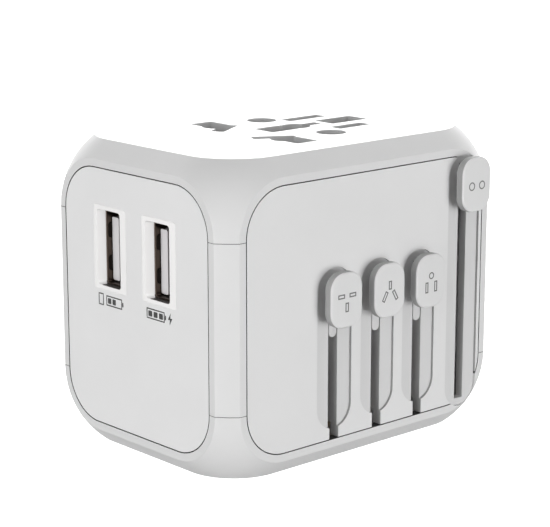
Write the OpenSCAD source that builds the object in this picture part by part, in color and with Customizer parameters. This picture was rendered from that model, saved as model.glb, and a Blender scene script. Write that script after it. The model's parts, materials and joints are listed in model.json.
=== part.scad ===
// Universal travel adapter: a chamfered block with a multi-standard socket on top,
// two USB ports on one end, and four sliders that push the plug pins out of the bottom.
// Origin at the centre of the bottom (plug) face, +Z towards the socket face.
// The sliders are on the -Y side and the USB ports on the -X end.

/* [Body] */
// Length along X, from the USB end to the plain end
body_l = 67.3; // [67:0.1:69]
// Width along Y, from the slider side to the plain side
body_w = 49.1; // [49:0.1:51]
// Height along Z, from the plug face to the socket face
body_h = 56.3; // [56:0.1:58]
// Width of the chamfer along every edge, measured on each face
chamfer = 3.05; // [2.6:0.05:3.2]
// Corner radius of the flat part of each face
face_r = 10; // [9.5:0.5:11]
// Wall thickness of the shells and the side panels
wall = 2; // [1.8:0.1:2]
// Half the height of the corner posts between the two shells
post_half_h = 15; // [14:0.5:15]

/* [Panels] */
// Margin between a panel and the edge of its flat face
panel_margin = 1.6; // [1.4:0.1:1.8]
// Width of the parting line round each panel
parting = 0.2; // [0.1:0.05:0.25]

/* [Sliders] */
// Width of the shallow track round each slider
track_w = 8.3; // [8:0.1:8.6]
// Depth of the track below the panel's surface
track_d = 0.45; // [0.3:0.05:0.6]
// Width of the slot that a slider's stem runs in
slot_w = 2.2; // [2.1:0.1:2.6]
// Width of a slider knob
knob_w = 7.6; // [7:0.1:7.8]
// Thickness of a knob's cap
knob_t = 1.7; // [1.5:0.1:2]
// Height of a knob's top above the panel
knob_top = 3.1; // [2.8:0.1:3.4]
// Travel of the British slider
uk_travel = 18.3; // [17:0.1:18.3]
// Travel of the Australian slider
aus_travel = 17.7; // [17:0.1:17.7]
// Travel of the American slider
us_travel = 17.7; // [17:0.1:17.7]
// Travel of the European slider
eu_travel = 37; // [36:0.5:37]

/* [Socket] */
// Distance between the European socket holes
eu_spacing = 19; // [19:0.1:19.2]
// Radius of the European socket holes
eu_hole_r = 2.75; // [2.5:0.05:2.8]
// Thickness of the socket plate
plate_t = 2; // [1.8:0.1:2]

/* [USB] */
// Distance between the two ports
usb_pitch = 13.8; // [13.6:0.1:14.2]
// Height of the ports above the middle of the body
usb_rise = 9.3; // [8.5:0.1:9.5]

/* [Hidden] */
$fn = 48;
eps = 0.01;
fit = 0.05;
// How far a cut runs past the surface it opens
over = 1;
BIG = 120;

// ---- casing ----
mid_z = body_h / 2;
reach = face_r + chamfer;
blend_r = sqrt(reach * reach + face_r * face_r);
blend_x = body_l / 2 - reach;
blend_y = body_w / 2 - reach;
blend_z = body_h / 2 - reach;
flat_l = body_l - 2 * chamfer;
flat_w = body_w - 2 * chamfer;
flat_h = body_h - 2 * chamfer;
panel_h = flat_h - 2 * panel_margin;
long_panel_w = flat_l - 2 * panel_margin;
short_panel_w = flat_w - 2 * panel_margin;
panel_r = face_r - panel_margin;
seam_gap = parting / 2;
ledge_w = 1.2;
ledge_t = 1.3;
bottom_t = 2.2;
pocket_gap = 0.5;
corner_steps = 8;
shell_facets = 72;
core_facets = 40;

// ---- inner sleeve and deck ----
sleeve_wall = 1.2;
sleeve_r = 11.6;
sleeve_bottom = 5;
sleeve_top = 51.2;
sleeve_inset = wall + fit;
inner_inset = sleeve_inset + sleeve_wall;
deck_z = 24.5;
deck_t = 1.6;
deck_top = deck_z + deck_t;
deck_inset = inner_inset + 0.1;
deck_r = sleeve_r - sleeve_wall - 0.1;
arm_play = 0.4;

// ---- case screws ----
screw_places = [[-26.4, -16.4], [-26.4, 16.4], [16.6, -18.4], [16.6, 18.4]];
boss_r = 2.5;
nut_boss_r = 2.4;
screw_r = 1.1;
screw_hole_r = 1.15;
head_r = 1.8;
head_t = 1.4;
sink_r = 1.95;
sink_d = 3;
screw_end = 30;
// Cross recess in a screw's head: length, width and depth
recess = [2.2, 0.5, 0.7];

// ---- slider places along X, and heights from the middle of the body ----
uk_x = -8.68;
aus_x = 1.93;
us_x = 12.48;
eu_x = 24.15;
knob_rise = 2.3;
eu_knob_rise = 18.5;
knob_h = 9.9;
eu_knob_h = 10.1;
knob_r = 3;
track_r = track_w / 2 - 0.05;
stem_w = 1.8;
stem_h = 6;
eu_stem_h = 7;
track_top = 7.7;
eu_track = 24.3;
// Track left below a knob at the end of its travel
track_end = 0.65;
uk_track_low = knob_rise - knob_h / 2 - uk_travel - track_end;
aus_track_low = knob_rise - knob_h / 2 - aus_travel - track_end;
us_track_low = knob_rise - knob_h / 2 - us_travel - track_end;
slot_top = 5.6;
eu_slot_top = 22.2;
eu_slot_low = eu_knob_rise - eu_stem_h / 2 - eu_travel - 0.9;
uk_tab_low = -5;
tab_low = -5.7;
tab_back = wall + 0.2;
arm_w = 2.4;
arm_t = 1.9;
arm_y = -20.8;
relief_d = 0.3;
slot_end = arm_y + 0.2;
stem_end = -19.4;
stem_play = 0.03;
arm_lip = 1.2;

// ---- plug pins ----
tip_z = 0.5;
uk_row_y = 11.1;
uk_pin_x = -3.4;
uk_pin = [4, 6.35];
uk_earth_x = -25.2;
uk_earth = [8, 4];
uk_plate_z = tip_z + 20.1;
uk_hub = 4;
uk_spine_half = 3.2;
seat_margin = 0.2;
plate_h = 3;
aus_row_y = 6.86;
aus_pin_x = 2.75;
aus_blade = [6.35, 1.6];
aus_angle = 30;
flat_plate_z = tip_z + 19.5;
us_row_y = 6.35;
us_pin_x = 12.4;
us_blade = [6.3, 1.5];
blade_hole_rise = 3.4;
blade_hole_r = 1.6;
eu_pin_r = 2;
eu_pin_l = 19;
collar_x = 24.6;
collar_w = 10.4;
collar_l = 34;
collar_cut = 3;
pin_seat = 6;
collar_z = tip_z + eu_pin_l;
collar_h = 20.1;
flange_t = 2.4;
foot_z = collar_z + collar_h + flange_t - 0.1;
flange_half = 18.5;
flange_cut = 4.5;
foot_h = 1.2;
foot_end = -16.5;
pin_play = 0.2;

// ---- socket face ----
plate_z = body_h - plate_t;
uk_slot = [-6.07, 11.1, 4.9, 7.3];
uk_earth_slot = [16.16, 0, 9.1, 5];
us_slot_a = [12.44, 6.35, 9.3, 2.3];
us_slot_b = [12.5, -6.35, 7.9, 2.4];
aus_slot = [-7, 6.86, 8, 2.2];
eu_hole_x = 4.57;
round_x = -6.6;
middle_rect = [-3.5, 6.6, 5.14];
middle_round = [4.6, 2.7];
middle_tail = [10.3, 1.8];

// ---- contacts and holder ----
holder_x = [-12, 19.1];
holder_half_w = 15;
holder_z = 40;
holder_top = 49.4;
holder_floor = 1.5;
holder_wall = 1.2;
divider_y = 3.6;
leg_places = [[-3.5, -13.2], [-3.5, 13.2], [17.2, -13.2], [17.2, 13.2]];
leg_r = 1.6;
strip_t = 0.8;
leaf_t = 0.5;
leaf_h = 6.5;
leaf_l = 5;
strip_z = holder_z + holder_floor;
contact_y = 9.5;
contact_w = 8;
us_leaf_y = contact_y - 2.2;
strip_end = 2;
pin_gap = 4;
blade_gap = 1.2;
earth_gap = 0.4;

// ---- shutters ----
shutter_z = 49.7;
shutter_t = 1.6;
uk_shutter_x = [-12.2, -2.9];
eu_shutter_x = [1.2, 17.6];
eu_shutter_y = [4.9, 12.9];
ear_t = 1.1;
ear_w = 2.2;
spring_r = 0.9;
spring_wire = 0.25;
spring_z = shutter_z + shutter_t / 2;
eu_stop_y = 19;
uk_stop_x = -21;
uk_spring_y = 16.3;
stop_z = shutter_z - 0.3;
stop_root = 0.8;
eu_ear_x = eu_shutter_x[1] + ear_w / 2 + 0.1;

// ---- USB ports and electronics ----
usb_z = mid_z + usb_rise;
bezel = [9.2, 15.3];
bezel_hole = [6, 13.9];
bezel_depth = 3.4;
bezel_r = 0.5;
mouth_r = 0.6;
window_half = (usb_pitch + bezel[0]) / 2;
window_depth = 5;
port_out = [5.7, 13.1];
port_in = [5.1, 12.5];
port_r = 0.5;
port_in_r = 0.3;
port_setback = 1.4;
tongue = [1.9, 11.5];
tongue_shift = -1.45;
tongue_setback = 2.4;
tongue_base = 3;
base_gap = 0.1;
board_x = -18;
port_depth = board_x + body_l / 2;
board_t = 1.6;
board_half_w = 18.6;
board_z = [27, 49];
fuse_x = 10;
fuse_z = 30;
fuse_r = 3.175;
fuse_l = 25.4;
cap_l = 6;
cap_t = 0.2;
clip_y = 9.7;
clip_t = 0.5;
clip_w = 5;
clip_foot = 1.6;
clip_mouth = 2.2;
transformer_y = [4, 16];
transformer_z = [27.5, 38.5];
cheek_t = 2;
core_l = 6;
core_inset = [1.5, 1];
capacitor_y = -9;
capacitor_z = 33;
capacitor_r = 3.9;
capacitor_l = 10.8;

// ---- outlines ----
// Rounded rectangle, centred, as a polygon with corner_steps sides to each corner
function rounded_points(w, h, r) = [
    for (k = [0:3])
    let (sx = (k == 0 || k == 3) ? 1 : -1, sy = k < 2 ? 1 : -1)
    for (i = [0:corner_steps])
    let (a = 90 * (k + i / corner_steps))
    [sx * (w / 2 - r) + r * cos(a), sy * (h / 2 - r) + r * sin(a)]
];

// Cross-section of the body: flat sides at the inset, cut at the corners by arcs of radius r
function body_points(inset, r) = [
    for (k = [0:3])
    let (sx = (k == 0 || k == 3) ? 1 : -1, sy = k < 2 ? 1 : -1, a0 = acos((reach - inset) / r))
    for (i = [0:corner_steps])
    let (a = 90 * k + a0 + (90 - 2 * a0) * i / corner_steps)
    [sx * blend_x + r * cos(a), sy * blend_y + r * sin(a)]
];

module rounded(w, h, r) {
    polygon(rounded_points(w, h, r));
}

// Block between two corners
module block(low, high) {
    translate(low)
        cube(high - low);
}

// ---- places ----
// Flat outline standing on a side: azimuth 0 is the -Y side, -90 the -X end, 90 the +X end.
// The outline's origin is at mid height, and the plate runs outward from `from`.
module on_side(azimuth, from) {
    rotate([0, 0, azimuth])
        translate([0, -from, mid_z])
            rotate([90, 0, 0])
                children();
}

// ---- casing ----
// The whole outer form: a box whose edges and corners are cut by a rounded block
module body_solid(inset, facets) {
    translate([0, 0, mid_z])
        intersection() {
            cube([body_l - 2 * inset, body_w - 2 * inset, body_h - 2 * inset], center = true);
            hull()
                for (sx = [-1, 1], sy = [-1, 1], sz = [-1, 1])
                    translate([sx * blend_x, sy * blend_y, sz * blend_z])
                        sphere(r = blend_r - inset, $fn = facets);
        }
}

module panel_plate(azimuth, from, width, t, grow) {
    on_side(azimuth, from)
        linear_extrude(t)
            rounded(width + 2 * grow, panel_h + 2 * grow, panel_r + grow);
}

// Room for the four side panels
module panel_pockets() {
    for (side = [0, 180])
        panel_plate(side, body_w / 2 - wall - pocket_gap, long_panel_w, wall + pocket_gap + over, parting);
    for (side = [-90, 90])
        panel_plate(side, body_l / 2 - wall - pocket_gap, short_panel_w, wall + pocket_gap + over, parting);
}

// Shallow track with round ends, centred on a slider
module track(x, low, high) {
    on_side(0, body_w / 2 - track_d)
        translate([x, (low + high) / 2, 0])
            linear_extrude(track_d + over)
                rounded(track_w, high - low, track_r);
}

module slider_tracks() {
    track(uk_x, uk_track_low, track_top);
    track(aus_x, aus_track_low, track_top);
    track(us_x, us_track_low, track_top);
    track(eu_x, -eu_track, eu_track);
}

// Slots for the sliders' stems, through the panel and the sleeve behind it
module slider_slots() {
    for (x = [uk_x, aus_x, us_x])
        block([x - slot_w / 2, -body_w / 2 - over, -over],
              [x + slot_w / 2, slot_end, mid_z + slot_top]);
    block([eu_x - slot_w / 2, -body_w / 2 - over, mid_z + eu_slot_low],
          [eu_x + slot_w / 2, slot_end, mid_z + eu_slot_top]);
}

module top_shell() {
    color("whitesmoke")
        difference() {
            union() {
                difference() {
                    body_solid(0, shell_facets);
                    body_solid(wall, core_facets);
                }
                intersection() {
                    body_solid(wall / 2, core_facets);
                    translate([0, 0, plate_z - ledge_t])
                        linear_extrude(ledge_t)
                            difference() {
                                square([body_l, body_w], center = true);
                                rounded(flat_l - 2 * ledge_w, flat_w - 2 * ledge_w, face_r - ledge_w);
                            }
                }
            }
            block([-BIG, -BIG, -BIG], [BIG, BIG, mid_z + post_half_h + seam_gap / 2]);
            panel_pockets();
            track(eu_x, -eu_track, eu_track);
            translate([0, 0, plate_z])
                linear_extrude(plate_t + over)
                    rounded(flat_l + 2 * fit, flat_w + 2 * fit, face_r + fit);
        }
}

// A slot in the socket face, given as [x, y, width, depth]
module socket_slot(s) {
    translate([s[0] - s[2] / 2, s[1] - s[3] / 2, plate_z - over])
        cube([s[2], s[3], plate_t + 2 * over]);
}

module socket_round(x, y, r) {
    translate([x, y, plate_z - over])
        cylinder(r = r, h = plate_t + 2 * over);
}

module socket_openings() {
    for (side = [-1, 1]) {
        socket_slot([uk_slot[0], side * uk_slot[1], uk_slot[2], uk_slot[3]]);
        socket_round(eu_hole_x, side * eu_spacing / 2, eu_hole_r);
        socket_round(round_x, side * eu_spacing / 2, eu_hole_r);
        translate([aus_slot[0], side * aus_slot[1], 0])
            rotate([0, 0, side * aus_angle])
                socket_slot([0, 0, aus_slot[2], aus_slot[3]]);
    }
    socket_slot(uk_earth_slot);
    socket_slot(us_slot_a);
    socket_slot(us_slot_b);
    socket_slot([middle_rect[0] + middle_rect[1] / 2, 0, middle_rect[1], middle_rect[2]]);
    socket_round(middle_round[0], 0, middle_round[1]);
    socket_slot([middle_tail[0] / 2, 0, middle_tail[0], middle_tail[1]]);
}

module socket_plate() {
    color("white")
        difference() {
            translate([0, 0, plate_z])
                linear_extrude(plate_t)
                    rounded(flat_l, flat_w, face_r);
            socket_openings();
        }
}

// Hole in the plug face for a flat-sided pin, given as [width, depth]
module pin_opening(x, y, pin, angle) {
    translate([x, y, -over])
        rotate([0, 0, angle])
            translate([-pin[0] / 2 - pin_play, -pin[1] / 2 - pin_play, 0])
                cube([pin[0] + 2 * pin_play, pin[1] + 2 * pin_play, bottom_t + 2 * over]);
}

// Holes in the plug face for the four sets of pins
module plug_openings() {
    for (side = [-1, 1]) {
        pin_opening(uk_pin_x, side * uk_row_y, uk_pin, 0);
        pin_opening(aus_pin_x, side * aus_row_y, aus_blade, side * aus_angle);
        pin_opening(us_pin_x, side * us_row_y, us_blade, 0);
    }
    pin_opening(uk_earth_x, 0, uk_earth, 0);
    translate([0, 0, -over])
        linear_extrude(bottom_t + 2 * over)
            collar_outline(collar_l / 2, collar_cut, pin_play);
}

module bottom_shell() {
    color("whitesmoke")
        difference() {
            union() {
                difference() {
                    body_solid(0, shell_facets);
                    intersection() {
                        body_solid(wall, core_facets);
                        block([-BIG, -BIG, bottom_t], [BIG, BIG, body_h]);
                    }
                    block([-BIG, -BIG, mid_z - post_half_h - seam_gap / 2], [BIG, BIG, BIG]);
                }
                for (p = screw_places)
                    translate([p[0], p[1], bottom_t - eps])
                        cylinder(r = boss_r, h = deck_z - bottom_t + eps);
            }
            panel_pockets();
            track(eu_x, -eu_track, eu_track);
            plug_openings();
            for (p = screw_places)
                translate([p[0], p[1], -over]) {
                    cylinder(r = sink_r, h = sink_d + over);
                    cylinder(r = screw_hole_r, h = deck_z + 2 * over);
                }
        }
}

// Ribs on the sleeve that the shutters' springs press against
module spring_stops() {
    for (side = [-1, 1]) {
        block([-body_l / 2 + sleeve_inset + stop_root, side * uk_spring_y - ear_w / 2, stop_z],
              [uk_stop_x, side * uk_spring_y + ear_w / 2, sleeve_top]);
        low = side > 0 ? eu_stop_y : -body_w / 2 + sleeve_inset + stop_root;
        high = side > 0 ? body_w / 2 - sleeve_inset - stop_root : -eu_stop_y;
        block([eu_ear_x - ear_w / 2, low, stop_z], [eu_ear_x + ear_w / 2, high, sleeve_top]);
    }
}

// Room in the sleeve's corner for the arm of the European slider, over its whole travel
module arm_relief() {
    half = arm_w / 2 + arm_play;
    block([eu_x - half, arm_y - relief_d, -over], [eu_x + half, arm_y + arm_t, body_h + over]);
}

// Corner posts seen between the two shells
module corner_posts() {
    difference() {
        translate([0, 0, mid_z - post_half_h + seam_gap / 2])
            linear_extrude(2 * post_half_h - seam_gap)
                polygon(body_points(0, blend_r));
        panel_pockets();
    }
}

// Inner sleeve behind the panels, with the corner posts and the spring stops
module mid_frame() {
    color("whitesmoke") {
        spring_stops();
        difference() {
            union() {
                translate([0, 0, sleeve_bottom])
                    linear_extrude(sleeve_top - sleeve_bottom)
                        polygon(body_points(sleeve_inset, sleeve_r));
                corner_posts();
            }
            translate([0, 0, -over])
                linear_extrude(body_h + 2 * over)
                    polygon(body_points(inner_inset, sleeve_r - sleeve_wall));
            slider_slots();
            arm_relief();
            block([-body_l / 2 - over, -window_half - fit, usb_z - bezel[1] / 2 - fit],
                  [-body_l / 2 + window_depth, window_half + fit, usb_z + bezel[1] / 2 + fit]);
        }
    }
}

// ---- side panels ----
module slider_panel() {
    color("gainsboro")
        difference() {
            panel_plate(0, body_w / 2 - wall, long_panel_w, wall, 0);
            slider_tracks();
            slider_slots();
        }
}

module usb_panel() {
    color("whitesmoke")
        difference() {
            panel_plate(-90, body_l / 2 - wall, short_panel_w, wall, 0);
            for (side = [-1, 1])
                usb_place(side)
                    translate([0, 0, -bezel_depth - over])
                        linear_extrude(bezel_depth + 2 * over)
                            rounded(bezel[0] + 2 * fit, bezel[1] + 2 * fit, bezel_r + fit);
        }
}

module rear_panel() {
    color("gainsboro")
        panel_plate(180, body_w / 2 - wall, long_panel_w, wall, 0);
}

module end_panel() {
    color("gainsboro")
        panel_plate(90, body_l / 2 - wall, short_panel_w, wall, 0);
}

// ---- deck and screws ----
// Gap in the deck that a slider's arm passes through, given as X and Y limits
module deck_gap(x, y) {
    block([x[0] - arm_play, y[0], deck_z - over], [x[1] + arm_play, y[1] + arm_play, deck_top + over]);
}

module chassis_deck() {
    color("silver")
        difference() {
            union() {
                translate([0, 0, deck_z])
                    linear_extrude(deck_t)
                        polygon(body_points(deck_inset, deck_r));
                for (p = screw_places)
                    translate([p[0], p[1], deck_top - eps])
                        cylinder(r = nut_boss_r, h = screw_end - deck_top + over);
            }
            for (p = screw_places)
                translate([p[0], p[1], deck_z - over])
                    cylinder(r = screw_hole_r, h = screw_end - deck_z + 1.5 * over);
            for (x = [uk_x, aus_x, us_x])
                deck_gap([x - arm_w / 2, x + arm_w / 2], [-body_w / 2, arm_y + arm_t]);
            deck_gap([collar_x - collar_w / 2, collar_x + collar_w / 2], [-body_w / 2, flange_half]);
        }
}

// Four screws with a cross recess in the head
module case_screws() {
    color("silver")
        for (p = screw_places)
            translate([p[0], p[1], 0])
                difference() {
                    union() {
                        translate([0, 0, sink_d - head_t])
                            cylinder(r = head_r, h = head_t);
                        translate([0, 0, sink_d - eps])
                            cylinder(r = screw_r, h = screw_end - sink_d);
                    }
                    for (turn = [0, 90])
                        rotate([0, 0, turn])
                            translate([-recess[0] / 2, -recess[1] / 2, 0])
                                cube([recess[0], recess[1], sink_d - head_t + recess[2]]);
                }
}

// ---- USB ports ----
// Centre of a port on the body's end face, looking outward
module usb_place(side) {
    on_side(-90, body_l / 2)
        translate([side * usb_pitch / 2, usb_rise, 0])
            children();
}

module usb_bezel(side) {
    color("white")
        usb_place(side)
            translate([0, 0, -bezel_depth])
                linear_extrude(bezel_depth)
                    difference() {
                        rounded(bezel[0], bezel[1], bezel_r);
                        rounded(bezel_hole[0], bezel_hole[1], mouth_r);
                    }
}

// Metal shell of a port: a rectangular tube set back from the bezel's face
module usb_shell(side) {
    color("silver")
        usb_place(side)
            translate([0, 0, -port_depth])
                linear_extrude(port_depth - port_setback)
                    difference() {
                        rounded(port_out[0], port_out[1], port_r);
                        rounded(port_in[0], port_in[1], port_in_r);
                    }
}

// Plastic tongue that carries a port's contacts, on a block at the back of the shell
module usb_tongue(side) {
    color("lavender")
        usb_place(side) {
            translate([tongue_shift - tongue[0] / 2, -tongue[1] / 2, -port_depth + 2 * base_gap])
                cube([tongue[0], tongue[1], port_depth - tongue_setback - 2 * base_gap]);
            translate([0, 0, -port_depth + base_gap])
                linear_extrude(tongue_base)
                    rounded(port_in[0] - 2 * fit, port_in[1] - 2 * fit, port_in_r);
        }
}

module usb_bezel_a() {
    usb_bezel(1);
}

module usb_bezel_b() {
    usb_bezel(-1);
}

module usb_shell_a() {
    usb_shell(1);
}

module usb_shell_b() {
    usb_shell(-1);
}

module usb_tongue_a() {
    usb_tongue(1);
}

module usb_tongue_b() {
    usb_tongue(-1);
}

// ---- electronics ----
module usb_board() {
    color("darkgreen")
        block([board_x, -board_half_w, board_z[0]], [board_x + board_t, board_half_w, board_z[1]]);
}

// Wound core between the two cheeks of its bobbin
module transformer() {
    x = board_x + board_t;
    color("goldenrod") {
        for (start = [0, cheek_t + core_l])
            block([x + start, transformer_y[0], transformer_z[0]],
                  [x + start + cheek_t, transformer_y[1], transformer_z[1]]);
        block([x + cheek_t - eps, transformer_y[0] + core_inset[0], transformer_z[0] + core_inset[1]],
              [x + cheek_t + core_l + eps, transformer_y[1] - core_inset[0],
               transformer_z[1] - core_inset[1]]);
    }
}

module capacitor() {
    color("dimgray")
        translate([board_x + board_t, capacitor_y, capacitor_z])
            rotate([0, 90, 0])
                cylinder(r = capacitor_r, h = capacitor_l);
}

module fuse() {
    color("lightgray")
        translate([fuse_x, 0, fuse_z])
            rotate([90, 0, 0]) {
                cylinder(r = fuse_r - cap_t, h = fuse_l - 2, center = true);
                for (side = [-1, 1])
                    translate([0, 0, side * (fuse_l / 2 - cap_l / 2)])
                        cylinder(r = fuse_r, h = cap_l, center = true);
            }
}

// Two spring clips that hold the fuse's caps, standing on the deck
module fuse_clips() {
    outer = fuse_r + clip_t + fit;
    color("silver")
        for (side = [-1, 1])
            translate([fuse_x, side * clip_y, 0])
                difference() {
                    union() {
                        translate([0, 0, fuse_z])
                            rotate([90, 0, 0])
                                cylinder(r = outer, h = clip_w, center = true);
                        block([-clip_foot, -clip_w / 2, deck_top], [clip_foot, clip_w / 2, fuse_z]);
                    }
                    translate([0, 0, fuse_z])
                        rotate([90, 0, 0])
                            cylinder(r = fuse_r + fit, h = clip_w + over, center = true);
                    block([-clip_mouth, -clip_w, fuse_z], [clip_mouth, clip_w, fuse_z + 2 * outer]);
                }
}

// ---- socket contacts ----
// Open tray under the shutters, on four legs that stand on the deck
module contact_holder() {
    inner = [holder_x[0] + holder_wall, holder_x[1] - holder_wall];
    color("ivory") {
        difference() {
            block([holder_x[0], -holder_half_w, holder_z], [holder_x[1], holder_half_w, holder_top]);
            block([inner[0], divider_y + holder_wall, holder_z + holder_floor],
                  [inner[1], holder_half_w - holder_wall, holder_top + over]);
            block([inner[0], -holder_half_w + holder_wall, holder_z + holder_floor],
                  [inner[1], -divider_y - holder_wall, holder_top + over]);
            block([inner[0], -divider_y, holder_z + holder_floor],
                  [inner[1], divider_y, holder_top + over]);
        }
        for (p = leg_places)
            translate([p[0], p[1], deck_top])
                cylinder(r = leg_r, h = holder_z - deck_top + eps);
    }
}

// A pair of upright spring leaves either side of a point, on the strip at strip_z
module leaf_pair(x, y, gap) {
    for (side = [-1, 1])
        translate([x - leaf_l / 2, y + side * (gap + leaf_t) / 2 - leaf_t / 2, strip_z + strip_t - eps])
            cube([leaf_l, leaf_t, leaf_h]);
}

// Strip of one pole, with leaves for the British, European and American pins
module phase_contact(side) {
    color("gold") {
        block([holder_x[0] + strip_end, side * contact_y - contact_w / 2, strip_z],
              [holder_x[1] - strip_end, side * contact_y + contact_w / 2, strip_z + strip_t]);
        leaf_pair(uk_slot[0], side * contact_y, pin_gap);
        leaf_pair(eu_hole_x, side * eu_spacing / 2, pin_gap);
        leaf_pair(us_slot_a[0], side * us_leaf_y, blade_gap);
    }
}

module live_contact() {
    phase_contact(1);
}

module neutral_contact() {
    phase_contact(-1);
}

module earth_contact() {
    half = divider_y - earth_gap;
    color("gold") {
        block([middle_round[0] - 2, -half, strip_z], [holder_x[1] - strip_end, half, strip_z + strip_t]);
        leaf_pair(holder_x[1] - leaf_l, 0, pin_gap);
        leaf_pair(middle_round[0] + 0.6, 0, pin_gap);
    }
}

// ---- shutters ----
module uk_shutter() {
    color("lightgray") {
        block([uk_shutter_x[0], -holder_half_w, shutter_z],
              [uk_shutter_x[1], holder_half_w, shutter_z + shutter_t]);
        block([uk_shutter_x[1] - ear_t, -uk_spring_y - ear_w / 2, shutter_z],
              [uk_shutter_x[1], uk_spring_y + ear_w / 2, shutter_z + shutter_t]);
    }
}

// Springs are drawn as plain sleeves of the coil's outer size
module spring_sleeve(l) {
    difference() {
        cylinder(r = spring_r, h = l);
        translate([0, 0, -over])
            cylinder(r = spring_r - spring_wire, h = l + 2 * over);
    }
}

module uk_shutter_springs() {
    color("silver")
        for (side = [-1, 1])
            translate([uk_stop_x, side * uk_spring_y, spring_z])
                rotate([0, 90, 0])
                    spring_sleeve(uk_shutter_x[1] - ear_t - uk_stop_x);
}

module phase_shutter(side) {
    low = side > 0 ? eu_shutter_y[0] : -eu_shutter_y[1];
    ear_low = side > 0 ? eu_shutter_y[0] : -eu_shutter_y[0] - ear_t;
    color("lightgray") {
        block([eu_shutter_x[0], low, shutter_z],
              [eu_shutter_x[1], low + eu_shutter_y[1] - eu_shutter_y[0], shutter_z + shutter_t]);
        block([eu_shutter_x[1] - eps, ear_low, shutter_z],
              [eu_shutter_x[1] + ear_w, ear_low + ear_t, shutter_z + shutter_t]);
    }
}

module phase_spring(side) {
    color("silver")
        translate([eu_ear_x, side * (eu_shutter_y[0] + ear_t), spring_z])
            rotate([side > 0 ? -90 : 90, 0, 0])
                spring_sleeve(eu_stop_y - eu_shutter_y[0] - ear_t);
}

module live_shutter() {
    phase_shutter(1);
}

module neutral_shutter() {
    phase_shutter(-1);
}

module live_shutter_spring() {
    phase_spring(1);
}

module neutral_shutter_spring() {
    phase_spring(-1);
}

// ---- sliders ----
// Knob: a round-cornered cap on a stem that runs through the slot into the carriage's arm.
// `rise` is the cap's centre above mid height; a tab fills the slot down to `tab_end`.
module knob(x, rise, h, stem, tab_end) {
    face_y = body_w / 2;
    color("gainsboro") {
        on_side(0, face_y + knob_top - knob_t)
            translate([x, rise, 0])
                linear_extrude(knob_t)
                    rounded(knob_w, h, knob_r);
        block([x - stem_w / 2, -face_y - knob_top + knob_t - eps, mid_z + rise - stem / 2],
              [x + stem_w / 2, stem_end, mid_z + rise + stem / 2]);
        if (tab_end < rise - stem / 2)
            block([x - stem_w / 2, -face_y + track_d, mid_z + tab_end],
                  [x + stem_w / 2, -face_y + tab_back, mid_z + rise - stem / 2 + eps]);
    }
}

// Arm behind the panel, with a mortise that takes the knob's stem
module carriage_arm(x, low, rise, stem) {
    difference() {
        block([x - arm_w / 2, arm_y, low],
              [x + arm_w / 2, arm_y + arm_t, mid_z + rise + stem / 2 + arm_lip]);
        block([x - stem_w / 2 - stem_play, arm_y - over, mid_z + rise - stem / 2 - stem_play],
              [x + stem_w / 2 + stem_play, arm_y + arm_t + over, mid_z + rise + stem / 2 + stem_play]);
    }
}

module uk_knob() {
    knob(uk_x, knob_rise, knob_h, stem_h, uk_tab_low);
}

module aus_knob() {
    knob(aus_x, knob_rise, knob_h, stem_h, tab_low);
}

module us_knob() {
    knob(us_x, knob_rise, knob_h, stem_h, tab_low);
}

module eu_knob() {
    knob(eu_x, eu_knob_rise, eu_knob_h, eu_stem_h, eu_knob_rise);
}

// Bar behind a panel that joins a carriage's plate to the foot of its arm
module arm_root(x, half, z) {
    block([x - arm_w / 2, arm_y + arm_t - eps, z], [x + arm_w / 2, -half + eps, z + plate_h]);
}

module uk_carriage() {
    edge = uk_pin_x + uk_pin[0] / 2 + seat_margin;
    half = uk_row_y + uk_pin[1] / 2 + seat_margin;
    spine_end = uk_earth_x - uk_earth[0] / 2 - seat_margin;
    color("white") {
        block([uk_x - uk_hub, -half, uk_plate_z], [edge, half, uk_plate_z + plate_h]);
        block([spine_end, -uk_spine_half, uk_plate_z],
              [uk_x - uk_hub + eps, uk_spine_half, uk_plate_z + plate_h]);
        arm_root(uk_x, half, uk_plate_z);
        carriage_arm(uk_x, uk_plate_z, knob_rise, stem_h);
    }
}

module uk_pins() {
    color("khaki") {
        for (side = [-1, 1])
            translate([uk_pin_x, side * uk_row_y, 0])
                block([-uk_pin[0] / 2, -uk_pin[1] / 2, tip_z], [uk_pin[0] / 2, uk_pin[1] / 2, uk_plate_z]);
        translate([uk_earth_x, 0, 0])
            block([-uk_earth[0] / 2, -uk_earth[1] / 2, tip_z],
                  [uk_earth[0] / 2, uk_earth[1] / 2, uk_plate_z]);
    }
}

// Plate that carries two flat pins, with its arm
module flat_carriage(x, pin_x, half_w, half_l) {
    color("white") {
        block([pin_x - half_w, -half_l, flat_plate_z], [pin_x + half_w, half_l, flat_plate_z + plate_h]);
        arm_root(x, half_l, flat_plate_z);
        carriage_arm(x, flat_plate_z, knob_rise, stem_h);
    }
}

module aus_carriage() {
    flat_carriage(aus_x, aus_pin_x, 3.45, aus_row_y + aus_blade[0] / 4 + 1.3);
}

module aus_pins() {
    color("khaki")
        for (side = [-1, 1])
            translate([aus_pin_x, side * aus_row_y, 0])
                rotate([0, 0, side * aus_angle])
                    block([-aus_blade[0] / 2, -aus_blade[1] / 2, tip_z],
                          [aus_blade[0] / 2, aus_blade[1] / 2, flat_plate_z]);
}

module us_carriage() {
    flat_carriage(us_x, us_pin_x, 3.5, us_row_y + us_blade[1] / 2 + 1.4);
}

module us_pins() {
    color("khaki")
        for (side = [-1, 1])
            translate([us_pin_x, side * us_row_y, 0])
                difference() {
                    block([-us_blade[0] / 2, -us_blade[1] / 2, tip_z],
                          [us_blade[0] / 2, us_blade[1] / 2, flat_plate_z]);
                    translate([0, 0, tip_z + blade_hole_rise])
                        rotate([90, 0, 0])
                            cylinder(r = blade_hole_r, h = us_blade[1] + 2 * over, center = true);
                }
}

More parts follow.
